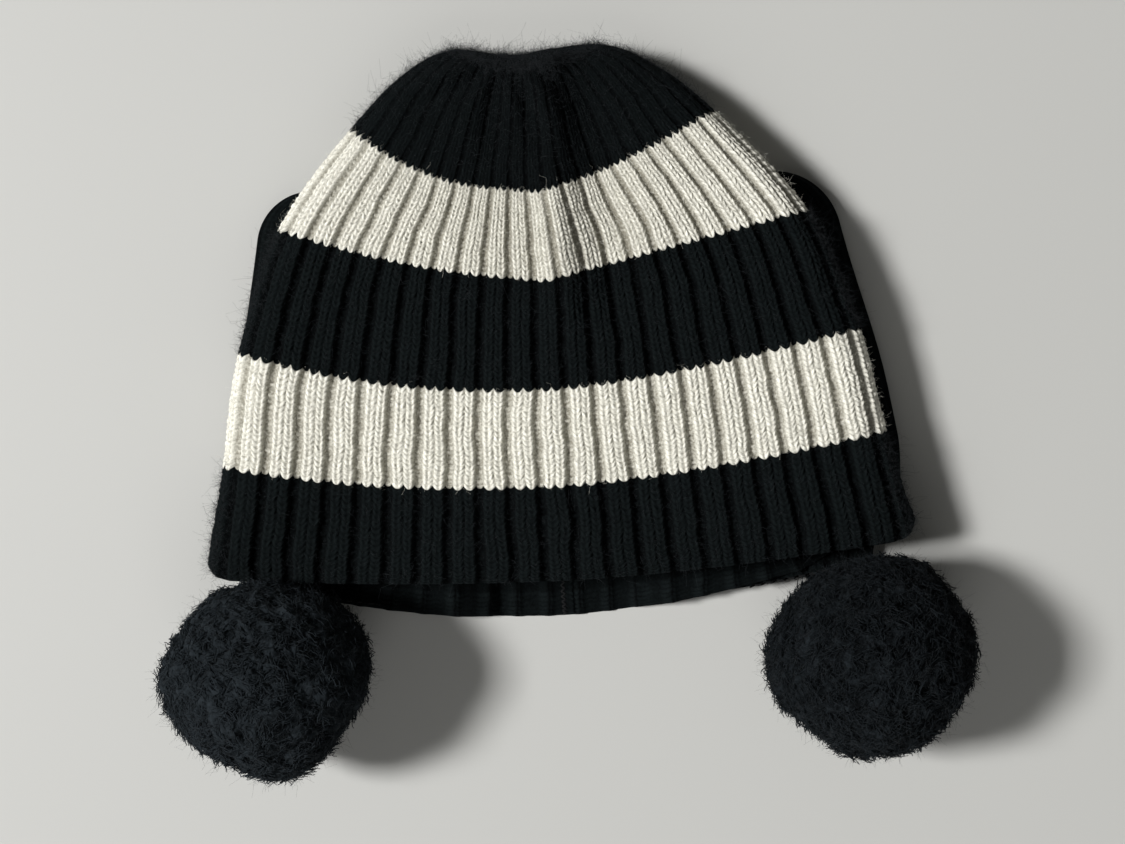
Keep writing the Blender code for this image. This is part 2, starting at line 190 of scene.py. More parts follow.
def grid_mesh(name, points, closed, attributes):
    """Rows of points, each row a ring. The rows close into a ring too, or each end is drawn shut."""
    rows, columns = points.shape[:2]
    i = np.arange(rows if closed else rows - 1)[:, None]
    j = np.arange(columns)[None, :]
    below, above, after = i * columns, ((i + 1) % rows) * columns, (j + 1) % columns
    quads = np.stack((below + j, below + after, above + after, above + j), -1).reshape(-1, 4)
    flat = points.reshape(-1, 3)
    first, second, third, fourth = (flat[quads[:, k]] for k in range(4))
    volume = np.einsum("ij,ij->i", first, np.cross(second, third)).sum()
    volume += np.einsum("ij,ij->i", first, np.cross(third, fourth)).sum()
    if volume < 0.0:
        quads = quads[:, ::-1]
    data = mesh_from(name, flat, quads, np.zeros((0, 3), int), attributes)
    if not closed:
        mesh = bmesh.new()
        mesh.from_mesh(data)
        bmesh.ops.remove_doubles(mesh, verts=mesh.verts, dist=0.000002)
        mesh.to_mesh(data)
        mesh.free()
    return data


def strand_mesh(name, paths, radii, attributes):
    """Three-sided strands. paths has one row of points per strand, and radii one size per point."""
    count, steps = paths.shape[:2]
    way = unit(paths[:, -1] - paths[:, 0])
    helper = np.where(np.abs(way[:, 2:3]) < 0.8, [[0.0, 0.0, 1.0]], [[1.0, 0.0, 0.0]])
    first = unit(np.cross(way, helper))
    second = np.cross(way, first)
    turn = (np.arange(3) * 2.0 * math.pi / 3.0)[None, :, None]
    ring = first[:, None, :] * np.cos(turn) + second[:, None, :] * np.sin(turn)
    points = paths[:, :, None, :] + ring[:, None, :, :] * radii[:, :, None, None]
    base = (np.arange(count) * steps * 3)[:, None, None]
    i = (np.arange(steps - 1) * 3)[None, :, None]
    j = np.arange(3)[None, None, :]
    after = (j + 1) % 3
    quads = np.stack(np.broadcast_arrays(base + i + j, base + i + after, base + i + 3 + after,
                                         base + i + 3 + j), -1).reshape(-1, 4)
    foot = base[:, 0, 0][:, None] + np.array((0, 2, 1))
    tip = base[:, 0, 0][:, None] + (steps - 1) * 3 + np.array((0, 1, 2))
    flat = points.reshape(-1, 3)
    flat[:, 2] = np.maximum(flat[:, 2], OFF_FLOOR)
    spread = {key: np.repeat(values.reshape(count, -1) * np.ones((1, steps)), 3, axis=1)
              for key, values in attributes.items()}
    return mesh_from(name, flat, quads, np.concatenate((foot, tip)), spread)


def add_piece(name, data, material, body, replaced=()):
    piece = bpy.data.objects.new(name, data)
    data.materials.append(material)
    bpy.context.scene.collection.objects.link(piece)
    if isinstance(body, str):
        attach(piece, body)
    else:
        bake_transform(piece)
    if replaced:
        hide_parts(*replaced)
    return piece


def distances(points):
    """How far along a line of points each one lies."""
    return np.concatenate(((0.0,), np.cumsum(np.linalg.norm(np.diff(points, axis=0), axis=1))))


def cord_mesh(name, points, radius):
    """A two-ply twisted thread along a line of points in millimetres."""
    points = np.asarray(points, float)
    steps = distances(points)
    count = max(int(steps[-1] / (radius * 0.9)), 12)
    at = np.linspace(0.0, steps[-1], count)
    path = np.stack([np.interp(at, steps, points[:, k]) for k in range(3)], -1)
    way = unit(np.gradient(path, axis=0))
    helper = np.where(np.abs(way[:, 2:3]) < 0.8, [[0.0, 0.0, 1.0]], [[1.0, 0.0, 0.0]])
    first = unit(np.cross(way, helper))
    second = np.cross(way, first)
    sides = 10
    turn = np.arange(sides)[None, :] * 2.0 * math.pi / sides
    turns = max(round(steps[-1] / (radius * 7.0)), 1)
    twist = at[:, None] / steps[-1] * 2.0 * math.pi * turns
    size = radius * (0.80 + 0.20 * np.abs(np.cos(turn - twist)))
    size = size * np.where((at > 0.0) & (at < steps[-1]), 1.0, 0.0)[:, None]
    ring = first[:, None, :] * np.cos(turn)[..., None] + second[:, None, :] * np.sin(turn)[..., None]
    solid = path[:, None, :] + ring * size[..., None]
    # painted shade in the grooves between the two plies
    shade = np.abs(np.cos(turn - twist))
    return grid_mesh(name, solid, False, {"yarn": shade, "odd": np.zeros_like(shade)})


def add_thread(name, points, radius, body, replaced):
    data = cord_mesh(name, points, radius)
    add_piece(name, data, THREAD, body, (replaced,))


# ---------------------------------------------------------------- the hat

def course(v):
    """The columns of the course table at any heights v, on smooth curves through its rows."""
    last = len(COURSES) - 1
    i = np.clip(np.floor(v).astype(int), 0, last - 1)
    t = (v - i)[..., None]
    p0, p1 = COURSES[np.maximum(i - 1, 0)], COURSES[i]
    p2, p3 = COURSES[i + 1], COURSES[np.minimum(i + 2, last)]
    curved = p2 - p0 + t * (2 * p0 - 5 * p1 + 4 * p2 - p3 + t * (3 * (p1 - p2) + p3 - p0))
    sizes = p1 + 0.5 * t * curved
    return np.moveaxis(sizes, -1, 0)


def hat_surface(u, v):
    """Points of the hat's outside. u runs from 0 at the left fold over the front to 1 at the right
    fold, and on under the back to 2; v runs from 0 at the hem to TOP at the crown."""
    (left, right, left_y, right_y, front_y, back_y, radius, middle_z, sag, left_bend,
     right_bend) = course(v)
    width = 0.5 * (left + right)
    flat = 2.0 * (width - radius)
    quarter = 0.5 * math.pi * radius
    back = u > 1.0
    along = np.where(back, 2.0 - u, u) * (flat + 2.0 * quarter)
    turn_left = np.clip(along / radius, 0.0, 0.5 * math.pi)
    turn_right = np.clip((along - quarter - flat) / radius, 0.0, 0.5 * math.pi)
    x = np.clip(along - quarter, 0.0, flat) - 0.5 * flat
    x = x - radius * np.cos(turn_left) + radius * np.sin(turn_right)
    height = np.sin(turn_left) * np.cos(turn_right)
    height = np.where(back, -height, height)
    side = x / width
    bend = np.where(side < 0.0, left_bend, right_bend)
    inward = 1.0 - np.abs(np.clip(side, -1.0, 1.0)) ** bend
    front_share = 0.5 + 0.5 * height
    side_y = left_y + (right_y - left_y) * (0.5 + 0.5 * side)
    at_hem = 1.0 - smooth(0.0, 0.9, v)
    rear = inward * (1.0 - at_hem * smooth(0.68, 0.9, np.abs(side)))
    y = (side_y - (side_y - front_y) * front_share * inward
         - (side_y - back_y) * (1.0 - front_share) * rear)
    corner = np.clip(1.0 - (width - np.abs(x)) / CORNER, 0.0, 1.0)
    y = y + CORNER * (1.0 - np.sqrt(1.0 - corner ** 2)) * at_hem
    over = np.maximum(height, 0.0)
    dip = 1.5 * over * np.exp(-((x - 2.0) / 9.0) ** 2)  # the rounds bow down over the crease
    y = y - dip * smooth(20.0, 60.0, y) * (1.0 - smooth(90.0, 112.0, y))
    z = middle_z + radius * height + DOME * (1.0 - side ** 2) * over
    rise = smooth(SAG_FLAT, SAG_EDGE, np.abs(x))
    z = z + np.where(height < 0.0, sag * height * (1.0 - rise), 0.0)
    x = x + 0.5 * (right - left)
    z = z + over * front_folds(x, y)
    return np.stack((x, y, np.maximum(z, 0.0)), -1)


def front_folds(x, y):
    """The soft crease below the gather, the pleats that fan out from it, and the lie of the wool."""
    fade = smooth(5.0, 60.0, y)
    crease = 3.6 * np.exp(-((x - 0.5 - 0.04 * (124.0 - y)) / 6.5) ** 2)
    crease = crease - 3.3 * np.exp(-((x - 14.0 - 0.10 * (124.0 - y)) / 9.5) ** 2)
    far = np.hypot(x - GATHER[0], GATHER[1] - y)
    turn = np.arctan2(x - GATHER[0], np.maximum(GATHER[1] - y, 0.01))
    pleats = np.cos(10.0 * turn + 1.6 * noise(61, turn * 2.0, far / 40.0))
    pleats = 1.3 * pleats * smooth(5.0, 16.0, far) * (1.0 - smooth(22.0, 58.0, far))
    return crease * fade * smooth(4.0, 14.0, far) + pleats + 0.8 * noise(5, x / 34.0, y / 34.0)


# ---------------------------------------------------------------- knitting

def rib_columns(knit_steps, purl_steps):
    """Places of the columns of faces across one rib: closer on the raised stitches."""
    purl = np.arange(purl_steps) / purl_steps * PURL_SHARE
    knit = PURL_SHARE + np.arange(2 * knit_steps) / (2 * knit_steps) * (1.0 - 2.0 * PURL_SHARE)
    return np.concatenate((purl, knit, 1.0 - PURL_SHARE + purl))


def stitches(place, rounds):
    """What the knit does at each place across, counted in ribs, and up, counted in rounds: how far the
    stitch's edge waves up or down, how far the rib stands out from -1 to 1, the height of the yarn
    from 0 to 1, and a number for the stitch."""
    rib = np.floor(place + 1e-9)
    part = place - rib
    near = np.minimum(part, 1.0 - part)
    raised = near >= PURL_SHARE - 1e-9
    column = 2.0 * (near - PURL_SHARE) / (1.0 - 2.0 * PURL_SHARE)
    across = np.clip(2.0 * column - 1.0, -1.0, 1.0)
    sunk = np.clip(near / PURL_SHARE, 0.0, 1.0)
    wave = np.where(raised, EDGE_WAVE * (2.0 * across ** 2 - 1.0), -0.1 + (EDGE_WAVE + 0.1) * sunk ** 3)
    turn = np.floor(rounds)
    share = rounds - turn
    stitch = 4.0 * rib + np.where(raised, np.where(part < 0.5, 1.0, 2.0), np.where(part < 0.5, 0.0, 3.0))
    odd = 2.0 * scatter(stitch, turn, 11) - 1.0
    leg_odd = 2.0 * scatter(stitch, turn, across > 0.0, 12) - 1.0
    band = (1.0 - np.abs(2.0 * share - 1.0) ** 2.2) ** 0.7
    leg = np.abs(np.sin(math.pi * across)) ** 0.8 + 0.12 * np.abs(across) ** 10
    hole = np.exp(-(across / 0.2) ** 2)
    knit = leg * (0.42 + 0.58 * band) * (1.0 + 0.20 * leg_odd) + 0.22 * hole * band
    bump = 0.5 - 0.5 * np.cos(2.0 * math.pi * (share + 0.25 * sunk))
    purl = 0.12 + 0.26 * bump * (1.0 + 0.8 * odd)
    rise = 2.0 * smooth(0.02, 0.25, near) - 1.0
    return wave, rise, np.where(raised, knit, purl), 0.5 * (odd + leg_odd)


def fibre_relief(across, up):
    """The uneven surface of the yarn, from places in millimetres."""
    return 0.18 * noise(31, across / 0.9, up / 1.1) + 0.20 * noise(32, across / 0.45, up / 0.55)


def stripe_rows(rounds, fine, open_hem):
    """Rows of faces counted in rounds, first up the outside and then down the inside."""
    outer = np.arange(rounds * fine + 1) / fine
    if not open_hem:
        return outer, np.linspace(rounds, 0.0, rounds // 2 + 1)
    coarse = np.linspace(rounds, OPEN_HEM, (rounds - OPEN_HEM) // 2 + 1)
    shown = np.arange(OPEN_HEM * 4, -1, -1) / 4
    return outer, np.concatenate((coarse[:-1], shown))


def knit_stripe(stripe):
    """One stripe of the hat: a ring of knit with an outside, an inside and two edges. Returns the
    points of its front, which way each faces, and which lie along the hat's outline."""
    name, first, last, rounds, fine, knit_steps, is_black = stripe
    half = RIBS // 2
    front = (np.arange(half)[:, None] + rib_columns(knit_steps, 3)[None, :]).ravel()
    rear = (half + np.arange(half)[:, None] + rib_columns(3, 1 if first else 2)[None, :]).ravel()
    place = np.concatenate((front, rear))[None, :]
    outer, inner = stripe_rows(rounds, fine, first == 0)
    count = np.concatenate((outer, inner))[:, None]
    inside = (np.arange(len(count)) >= len(outer))[:, None]
    mirrored = np.where(inside, place + 0.5, place)
    height = np.minimum(count, rounds - 0.001)
    wave, _, yarn, odd = stitches(mirrored, height)
    edge, rise, _, _ = stitches(place, height)
    wave = np.where((count <= 0.0) | (count >= rounds), edge, np.where(inside, 0.5 * wave, wave))
    v = first + (last - first) * count / rounds
    size = (last - first) / rounds
    v = v + wave * size * smooth(0.0, 0.12, v) * (1.0 - smooth(6.0, TOP, v))
    v = np.clip(v, 0.0, TOP)
    ends = smooth(0.0, 1.5, np.minimum(place, RIBS - place))
    drift = 0.05 * noise(21, place / 2.0, v * 3.0) + 0.03 * noise(22, place * 2.0, v * 9.0)
    u = np.mod(2.0 * (place + drift * ends) / RIBS, 2.0)
    base = hat_surface(u, v)
    step = 0.004
    around = hat_surface(np.mod(u + step, 2.0), v) - hat_surface(np.mod(u - step, 2.0), v)
    up = hat_surface(u, np.minimum(v + step * 4, TOP)) - hat_surface(u, np.maximum(v - step * 4, 0.0))
    outward = unit(np.cross(around, up))
    left, right = course(v)[:2]
    narrow = np.clip((left + right + 16.0) / (RIBS * RIB_PITCH / 2.0), 0.12, 1.0) ** 0.8
    felted = 1.0 - CROWN_SOFT * smooth(3.6, 4.4, v)
    narrow = narrow * felted
    ribs = RIB_RISE * (rise - 1.0) * narrow
    relief = YARN * np.minimum(narrow * 1.15, 1.0) * (yarn - 1.0)
    relief = relief + fibre_relief(place * RIB_PITCH, count * ROUND) * narrow
    lift = np.where(inside, ribs - WALL - 0.6 * relief, ribs + relief) + PROUD * narrow
    hem = smooth(0.0, 1.0, count) if first == 0 else 1.0
    lift = np.where(inside, lift + 0.6 * (1.0 - hem), lift - 0.5 * (1.0 - hem))
    points = base + outward * lift[..., None]
    points[..., 2] = np.maximum(points[..., 2], 0.0)
    shape = lift.shape
    # painted shade: the middle of the upper white stripe darkened round its crease and pleats
    crease_shade = CREASE_SHADE * np.exp(-((points[..., 0] - CREASE_SHADE_AT) / CREASE_SHADE_WIDE) ** 2) * smooth(2.6, 3.2, v)
    # painted shade: the colour follows the height of the yarn and the rib, darker in the gaps between
    # stitches and in the sunken columns
    painted_stitch_shade = felted * (np.clip(yarn, 0.0, 1.2) - 0.6) + 0.6
    attributes = {"yarn": np.broadcast_to(painted_stitch_shade - crease_shade, shape), "odd": np.broadcast_to(odd, shape),
                  "rise": np.broadcast_to(rise * felted, shape)}
    data = grid_mesh(name + "_knit", points, True, attributes)
    wool_yarn = BLACK if is_black else WHITE
    piece = add_piece(name + "_knit", data, wool_yarn, "hat", (name + "_stripe",))
    shown = (place < half) & (outer[:, None] > 0.3)
    rim = (np.minimum(place, half - place) < 1.0) | (np.abs(v[: len(outer)] - 6.0) < 0.12)
    return points[: len(outer)][shown], outward[: len(outer)][shown], (rim & shown)[shown]


# ---------------------------------------------------------------- the straps

def strap_point(side, along, out, z):
    """A point of a strap, from its place along it, outwards from its middle line, and its height."""
    slant = side * STRAP_SLANT
    x = side * STRAP_ROOT[0] - math.sin(slant) * along + math.cos(slant) * side * out
    y = STRAP_ROOT[1] + math.cos(slant) * along + math.sin(slant) * side * out
    return np.stack(np.broadcast_arrays(x, y, z), -1)


def strap_edges(side, along):
    """How far a strap reaches inwards and outwards at a place along it."""
    corner = STRAP_CORNER[side]
    round_off = np.clip((along - STRAP_LENGTH) / corner + 1.0, 0.0, 1.0)
    outer = STRAP_OUT - corner * (1.0 - np.sqrt(1.0 - round_off ** 2))
    outer = outer - ROOT_TUCK * (1.0 - smooth(0.0, 30.0, along))
    outer = outer + STRAP_FLARE[side] * smooth(10.0, 45.0, along) * (1.0 - smooth(60.0, 130.0, along))
    share = smooth(0.0, 1.0, (along - NECK_START) / TAPER)
    lower_out = NECK_SHIFT + NECK_HALF + (outer - NECK_SHIFT - NECK_HALF) * share
    lower_in = NECK_SHIFT - NECK_HALF + (NECK_HALF - NECK_SHIFT - STRAP_HALF) * share
    return outer, lower_out, lower_in


def run_stations(side, begin, end, lower):
    """Middle points, outward and facing directions, and reach each way, along a flat run."""
    along = np.linspace(begin, end, max(int(abs(end - begin) / 0.45), 2))
    outer, lower_out, lower_in = strap_edges(side, along)
    reach_out = lower_out if lower else outer
    reach_in = lower_in if lower else np.full_like(along, -STRAP_HALF)
    z = LOWER_MIDDLE if lower else UPPER_MIDDLE
    middle = strap_point(side, along, 0.0, z)
    facing = np.tile((0.0, 0.0, -1.0 if lower else 1.0), (len(along), 1))
    return middle, facing, reach_out, reach_in, along


def fold_stations(side):
    """The same for the turn at the top of the strap, with a little of each run."""
    first = run_stations(side, STRAP_LENGTH - FOLD_PIECE, STRAP_LENGTH - 0.3, False)
    last = run_stations(side, STRAP_LENGTH - 0.3, STRAP_LENGTH - FOLD_PIECE, True)
    turn = np.linspace(0.0, math.pi, 15)[1:-1]
    radius = UPPER_MIDDLE - FOLD_Z
    along = STRAP_LENGTH + radius * np.sin(turn)
    middle = strap_point(side, along, 0.0, FOLD_Z + radius * np.cos(turn))
    slant = side * STRAP_SLANT
    way = np.array((-math.sin(slant), math.cos(slant), 0.0))
    facing = np.sin(turn)[:, None] * way + np.cos(turn)[:, None] * np.array((0.0, 0.0, 1.0))
    outer = np.full(len(turn), strap_edges(side, np.array([STRAP_LENGTH]))[0][0])
    bend = (middle, facing, outer, np.full(len(turn), -STRAP_HALF), along)
    return tuple(np.concatenate(parts) for parts in zip(first, bend, last))


def strap_columns():
    """Places of the columns of faces round a strap, counted in ribs over its top and back below."""
    top = (np.arange(STRAP_RIBS)[:, None] + rib_columns(7, 3)[None, :]).ravel()
    return np.concatenate((top, STRAP_RIBS + top))[None, :]


def strap_outwards(side):
    """The direction from a strap's inner edge to its outer edge."""
    slant = side * STRAP_SLANT
    return np.array((math.cos(slant) * side, math.sin(slant) * side, 0.0))


def strap_mesh(name, points, yarn, odd, tip=None):
    """A strap's rows of points as a solid, with both ends drawn shut, the last one at the tip if given."""
    points[..., 2] = np.maximum(points[..., 2], OFF_FLOOR)
    tip = points[-1].mean(0) if tip is None else tip
    points = np.concatenate((points[[0]] * 0.0 + points[0].mean(0), points, points[[-1]] * 0.0 + tip))
    yarn, odd = (np.concatenate((value[:1], value, value[-1:])) for value in (yarn, odd))
    # painted shade: the yarn attribute makes the gaps between stitches darker
    return grid_mesh(name, points, False, {"yarn": np.clip(yarn, 0.0, 1.2), "odd": odd})


def band(name, side, stations, body, replaced, held):
    """A flat band of rib knit, through a row of stations."""
    middle, facing, reach_out, reach_in, along = stations
    place = strap_columns()
    share = np.where(place < STRAP_RIBS, place / STRAP_RIBS, 2.0 - place / STRAP_RIBS)
    over = np.where(place < STRAP_RIBS, 1.0, -1.0)
    travelled = distances(middle)
    rounds = (along[0] + travelled)[:, None] / ROUND + 200.0
    _, rise, yarn, odd = stitches(place, rounds)
    out = reach_in[:, None] + (reach_out - reach_in)[:, None] * share
    across = 2.0 * share - 1.0
    full = (1.0 - np.abs(across) ** 12) ** 0.5
    relief = 0.35 * (rise - 1.0) + 0.55 * (yarn - 1.0) + fibre_relief(place * RIB_PITCH, rounds * ROUND)
    depth = over * (0.5 * STRAP_THICK * full + relief * full)
    points = middle[:, None, :] + strap_outwards(side) * out[..., None]
    points = points + facing[:, None, :] * depth[..., None]
    data = strap_mesh(name, points, yarn, odd)
    piece = add_piece(name, data, BLACK, body, replaced)


def neck_stations(side):
    """The gathered end: its middle line, half width, half thickness, and how far it has narrowed."""
    start = strap_point(side, NECK_START, NECK_SHIFT, LOWER_MIDDLE)
    centre = np.array(POMPOMS[side])
    foot = strap_point(side, NECK_FOOT, NECK_SHIFT, 0.0)
    tip = centre + unit(foot - centre) * (POMPOM_RADIUS - NECK_BURIED)
    before = np.linspace(NECK_PIECE, NECK_START, 26)[:-1]
    _, reach_out, reach_in = strap_edges(side, before)
    flat = strap_point(side, before, 0.5 * (reach_out + reach_in), LOWER_MIDDLE)
    t = np.linspace(0.0, 1.0, 60)[:, None]
    rise = np.maximum((t - NECK_RISES) / (1.0 - NECK_RISES), 0.0) ** 1.5
    rest = start + (tip - start) * t
    rest[:, 2:3] = start[2] + (tip[2] - start[2]) * rise
    narrow = smooth(0.0, 1.0, t[:, 0]) ** 1.3
    half = NECK_HALF * (1.0 - narrow) + ROPE * narrow
    deep = 0.5 * STRAP_THICK + (ROPE - 0.5 * STRAP_THICK) * smooth(0.4, 1.0, t[:, 0])
    flat_deep = np.full(len(before), 0.5 * STRAP_THICK)
    return (np.concatenate((flat, rest)), np.concatenate((0.5 * (reach_out - reach_in), half)),
            np.concatenate((flat_deep, deep)), np.concatenate((0.0 * before, narrow)))


def neck_piece(side):
    """The strap's end, whose ribs draw together into a round neck at the pompom. Returns its path."""
    path, half, deep, narrow = neck_stations(side)
    place = strap_columns()
    turn = math.pi * place / STRAP_RIBS
    travelled = distances(path)
    rounds = travelled[:, None] / ROUND + 100.0
    _, rise, yarn, odd = stitches(place, rounds)
    power = (0.25 + 0.75 * narrow)[:, None]
    flat = -np.sign(np.cos(turn)) * np.abs(np.cos(turn)) ** power
    tall = np.sign(np.sin(turn)) * np.abs(np.sin(turn)) ** power
    size = (0.45 + 0.55 * half / half[0])[:, None]
    relief = (0.40 * (rise - 1.0) + 0.55 * (yarn - 1.0)) * size
    way = unit(np.gradient(path, axis=0))
    outwards = strap_outwards(side)
    lift = unit(np.cross(outwards * side, -way))
    lift = lift * np.sign(lift[:, 2:3])
    wide = flat * (half[:, None] + relief)
    high = tall * (deep[:, None] + relief * 0.8)
    points = path[:, None, :] + outwards * wide[..., None] + lift[:, None, :] * high[..., None]
    name = PREFIX[side] + "strap_neck_knit"
    data = strap_mesh(name, points, yarn, odd, path[-1])
    start, end = (strap_point(side, NECK_START + shift, NECK_SHIFT, 2.0) * MM for shift in (4.0, -4.0))
    bodies = (PREFIX[side] + "strap_lower", PREFIX[side] + "neck", tuple(start), tuple(end))
    piece = add_piece(name, data, BLACK, bodies, (PREFIX[side] + "strap_gathered_end",))
    flat = (STRAP_RIBS * RIB_WALES * WALE * MM, float(travelled[-1]) * MM)
    return path


def build_strap(side):
    """The strap's runs, fold and neck, the thread round the neck, and the zigzag that sews it to the hem."""
    prefix = PREFIX[side]
    upper = run_stations(side, 1.0, STRAP_LENGTH - FOLD_PIECE + 0.1, False)
    band(prefix + "strap_upper_knit", side, upper, prefix + "strap_upper", (prefix + "strap_first_run",),
         "laid")
    at = strap_point(side, STRAP_LENGTH, 0.0, 0.0) * MM
    bodies = (prefix + "strap_upper", prefix + "strap_lower",
              (at[0], at[1], 4.05 * MM), (at[0], at[1], 3.55 * MM))
    band(prefix + "strap_fold_knit", side, fold_stations(side), bodies, (), "folded")
    lower = run_stations(side, STRAP_LENGTH - FOLD_PIECE + 0.1, NECK_PIECE - 0.1, True)
    band(prefix + "strap_lower_knit", side, lower, prefix + "strap_lower", (prefix + "strap_second_run",),
         "laid")
    path = neck_piece(side)
    way = unit(path[-1] - path[-6])
    rings = wound(path[-9], way, ROPE - 0.1, 0.35, 4)
    add_thread(prefix + "neck_tie_thread", rings, 0.4, prefix + "neck", prefix + "neck_tie")
    zigzag = [strap_point(side, 1.2, across, 8.6 if i % 2 else 12.2)
              for i, across in enumerate(np.linspace(-26.0, 26.0, 27))]
    add_thread(prefix + "strap_seam_thread", zigzag, 0.4, "hat", prefix + "strap_stitching")


def wound(centre, way, radius, pitch, turns):
    """A thread wound a few times round an axis."""
    first = unit(np.cross(way, (1.0, 0.0, 0.0)))
    second = np.cross(way, first)
    turn = np.linspace(0.0, 2.0 * math.pi * turns, 24 * turns)[:, None]
    rise = pitch * 2.0 * (turn / (2.0 * math.pi) - 0.5 * turns)
    return centre + radius * (np.cos(turn) * first + np.sin(turn) * second) + way * rise


# ---------------------------------------------------------------- the pompoms

def sphere_spread(count):
    """Directions spread evenly over a ball."""
    i = np.arange(count) + 0.5
    tall = 1.0 - 2.0 * i / count
    turn = i * math.pi * (1.0 + math.sqrt(5.0))
    flat = np.sqrt(1.0 - tall ** 2)
    return np.stack((flat * np.cos(turn), flat * np.sin(turn), tall), -1)


def ball_radius(ways, seed, side):
    """The uneven size of a pompom each way, flat where it rests."""
    x, y, z = ways[:, 0], ways[:, 1], ways[:, 2]
    size = POMPOM_RADIUS - 0.8 * y ** 2
    for i, (height, fine) in enumerate(TUFTS):
        size = size + height * noise(seed + i, x * fine, y * fine, z * fine)
    for bearing, height, width in LOBES[side]:
        turn = math.radians(bearing)
        facing = x * math.cos(turn) + y * math.sin(turn)
        size = size + height * np.exp((facing - 1.0) / width ** 2)
    to_floor = (POMPOMS[side][2] - 0.4) / np.maximum(-z, 1e-6)
    return np.where(z < 0.0, np.minimum(size, to_floor), size)


def random_ways(count, seed):
    """Directions scattered over a ball."""
    i = np.arange(count)
    tall = 2.0 * scatter(i, seed) - 1.0
    turn = 2.0 * math.pi * scatter(i, seed + 1)
    flat = np.sqrt(np.maximum(1.0 - tall ** 2, 0.0))
    return np.stack((flat * np.cos(turn), flat * np.sin(turn), tall), -1)


def pompom_core(side, seed):
    """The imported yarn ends, matted into small clumps."""
    centre = np.array(POMPOMS[side])
    rows, columns = 240, 400
    tilt = np.linspace(0.0, math.pi, rows)[:, None]
    turn = np.arange(columns)[None, :] * 2.0 * math.pi / columns
    ways = np.stack(np.broadcast_arrays(np.sin(tilt) * np.cos(turn), np.sin(tilt) * np.sin(turn),
                                        np.cos(tilt)), -1)
    size = ball_radius(ways.reshape(-1, 3), seed, side).reshape(rows, columns)
    x, y, z = (ways[..., k] * POMPOM_RADIUS for k in range(3))
    clump = noise(seed + 5, x / 3.2, y / 3.2, z / 3.2)
    ends = noise(seed + 6, x / 1.5, y / 1.5, z / 1.5) + 0.6 * noise(seed + 7, x / 0.8, y / 0.8, z / 0.8)
    relief = 0.75 * clump + 0.45 * ends
    points = centre + ways * (size - 1.0 + relief)[..., None]
    points[..., 2] = np.maximum(points[..., 2], 0.1)
    # painted shade: darker in the hollows between the clumps; painted light and shade: the left pompom
    # lighter, the right darker
    data = grid_mesh(PREFIX[side] + "pompom_core", points, False,
                     {"yarn": np.clip(0.45 + 0.5 * relief, 0.0, 1.2) + POMPOM_PAINTED_LIGHT[side], "odd": clump})
    core = add_piece(PREFIX[side] + "pompom_core", data, PILE, PREFIX[side] + "pompom",
                     (PREFIX[side] + "pompom_pile",))


def pompom_yarn(side, seed, part):
    """Cut yarn ends, frayed into crimped strands that lie this way and that over the ball."""
    clumps, frayed, steps = 1150, 5, 6
    ways = sphere_spread(PILE_PARTS * clumps)[part::PILE_PARTS]
    count = len(ways)
    i = np.arange(count)
    ways = unit(ways + 0.06 * random_ways(count, seed + 10 + part))
    centre = np.array(POMPOMS[side])
    size = ball_radius(ways, seed, side) + 1.1 * (scatter(i, seed + 3, part) - 0.55)
    lean = random_ways(count, seed + 20 + part)
    lean = unit(lean - ways * (lean * ways).sum(1)[:, None])
    k = np.arange(count * frayed)
    owner = k // frayed
    splay = random_ways(len(k), seed + 30 + part)
    t = np.linspace(0.0, 1.0, steps)[None, :, None]
    root = centre + ways[owner] * (size[owner] - 1.3)[:, None] + splay * 0.9
    long = (2.8 + 2.4 * scatter(k, seed + 4, part))[:, None]
    tip = root + unit(lean[owner] + 0.05 * ways[owner] + 0.3 * splay) * long
    swirl = np.cross(unit(tip - root), ways[owner])
    phase = (2.0 * math.pi * scatter(k, seed + 5, part))[:, None, None]
    crimp = swirl[:, None, :] * np.sin(phase + 6.5 * t) + splay[:, None, :] * np.cos(phase + 6.5 * t)
    paths = root[:, None, :] + (tip - root)[:, None, :] * t
    paths = paths + crimp * 0.4 * t
    radii = (0.13 + 0.09 * scatter(k, seed + 6, part))[:, None] * (1.0 - 0.25 * t[:, :, 0] ** 2)
    # painted shade: darker towards the roots deep in the ball; painted light and shade: the left pompom
    # lighter, the right darker
    shade = 0.60 + 0.35 * t[:, :, 0] * np.ones((len(k), 1)) + POMPOM_PAINTED_LIGHT[side]
    odd = 2.0 * scatter(owner, seed + 7, part) - 1.0
    name = PREFIX[side] + "pompom_yarn_" + "abcd"[part]
    data = strand_mesh(name, paths, radii, {"yarn": shade, "odd": odd})
    add_piece(name, data, PILE, PREFIX[side] + "pompom")


def hair_paths(roots, ways, lengths, seed):
    """Curved hairs from points on a surface."""
    t = np.linspace(0.0, 1.0, HAIR_STEPS)[None, :, None]
    aside = random_ways(len(roots), seed)[:, None, :]
    twist = random_ways(len(roots), seed + 2)[:, None, :]
    size = lengths[:, None, None]
    paths = roots[:, None, :] + ways[:, None, :] * size * t + aside * size * HAIR_SAG * t ** 2
    return paths + twist * size * HAIR_CURL * np.sin(math.pi * 2.5 * t)


def hair_mesh(name, paths, radius, yarn):
    """Fibres that thin to half their radius at the tip."""
    count, steps = paths.shape[:2]
    radii = np.full((count, steps), radius) * np.linspace(1.0, 0.5, steps)[None, :]
    return strand_mesh(name, paths, radii, {"yarn": np.full(count, yarn), "odd": np.zeros(count)})


